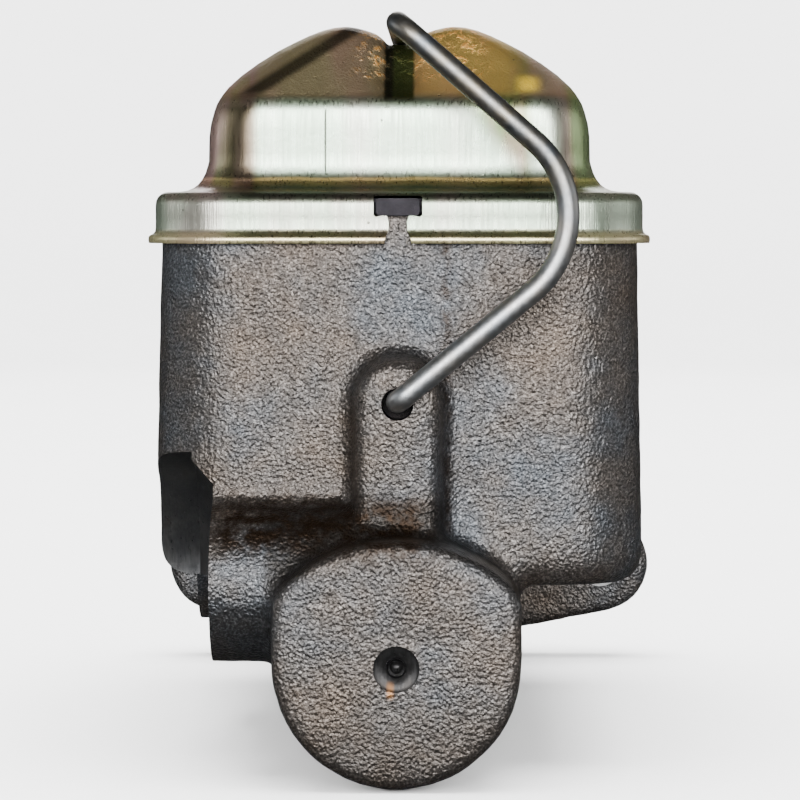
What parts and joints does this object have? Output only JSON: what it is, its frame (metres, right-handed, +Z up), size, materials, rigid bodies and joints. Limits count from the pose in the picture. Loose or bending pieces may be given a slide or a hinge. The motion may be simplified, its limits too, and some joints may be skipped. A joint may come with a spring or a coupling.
{
  "type": "brake master cylinder",
  "caption": "Tandem brake master cylinder: cast-iron body with split reservoir, domed zinc-plated cover held by a swinging wire bail, and spring-returned pistons in the bore.",
  "frame": {"origin": "on the bore's axis, in the plane of the mounting flange's rear face", "axes": "+Y along the bore to the rear, out of the push-rod end; -Y the closed front end of the barrel; +Z up through the reservoir; +X away from the outlets"},
  "size_m": [0.1076, 0.2095, 0.1345],
  "materials": {
    "cast_iron": "as-cast, satin, with machined faces",
    "yellow_zinc": "yellow chromate zinc, iridescent",
    "bright_zinc": "clear zinc plate",
    "spring_steel": "oiled spring steel",
    "diaphragm_rubber": "matt",
    "cup_rubber": "satin",
    "piston_aluminium": "turned",
    "seat_brass": "turned",
    "seal_copper": "annealed copper"
  },
  "bodies": {
    "housing": {"body": "cast_iron", "front_tube_seat": "seat_brass", "rear_tube_seat": "seat_brass", "residual_valve_spring": "spring_steel", "piston_stop_screw": "bright_zinc", "stop_screw_seal": "seal_copper", "stop_washer": "bright_zinc", "snap_ring": "spring_steel", "secondary_spring": "spring_steel"},
    "cover": {"cover": "yellow_zinc", "diaphragm_gasket": "diaphragm_rubber"},
    "bail": {"bail_wire": "bright_zinc"},
    "primary_piston": {"primary_piston": "piston_aluminium", "primary_rear_seal": "cup_rubber", "primary_cup_washer": "bright_zinc", "primary_cup": "cup_rubber", "primary_spring_seat": "bright_zinc", "primary_spring_screw": "bright_zinc", "primary_spring": "spring_steel"},
    "secondary_piston": {"secondary_piston": "piston_aluminium", "secondary_rear_cup": "cup_rubber", "secondary_middle_cup": "cup_rubber", "secondary_cup_washer": "bright_zinc", "secondary_front_cup": "cup_rubber", "secondary_spring_seat": "bright_zinc", "primary_spring_cage": "bright_zinc"},
    "residual_valve": {"residual_valve": "cup_rubber"}
  },
  "joints": [
    {"name": "bail_swing", "type": "hinge", "parent": "housing", "child": "bail", "pos_m": [0, -0.109, 0.0453], "axis": [0, 1, 0], "range_deg": [0, 95], "deforming": ["bail_wire"]},
    {"name": "cover_lift", "type": "slide", "parent": "housing", "child": "cover", "axis": [0, 0, 1], "range_m": [0, 0.036]},
    {"name": "primary_stroke", "type": "slide", "parent": "housing", "child": "primary_piston", "axis": [0, -1, 0], "range_m": [0, 0.027], "stiffness_N_per_m": 1500, "springref_m": -0.02, "deforming": ["primary_spring", "secondary_spring"]},
    {"name": "secondary_stroke", "type": "slide", "parent": "housing", "child": "secondary_piston", "axis": [0, -1, 0], "range_m": [0, 0.0125], "deforming": ["secondary_spring", "primary_spring"]},
    {"name": "residual_valve_lift", "type": "slide", "parent": "housing", "child": "residual_valve", "axis": [1, 0, 0], "range_m": [0, 0.0008], "stiffness_N_per_m": 50, "springref_m": -0.002, "deforming": ["residual_valve_spring"]}
  ],
  "couplings": [
    {"joint": "cover_lift", "follows": "bail_swing", "m_per_rad": 0.0216},
    {"joint": "secondary_stroke", "follows": "primary_stroke", "ratio": 0.46}
  ]
}
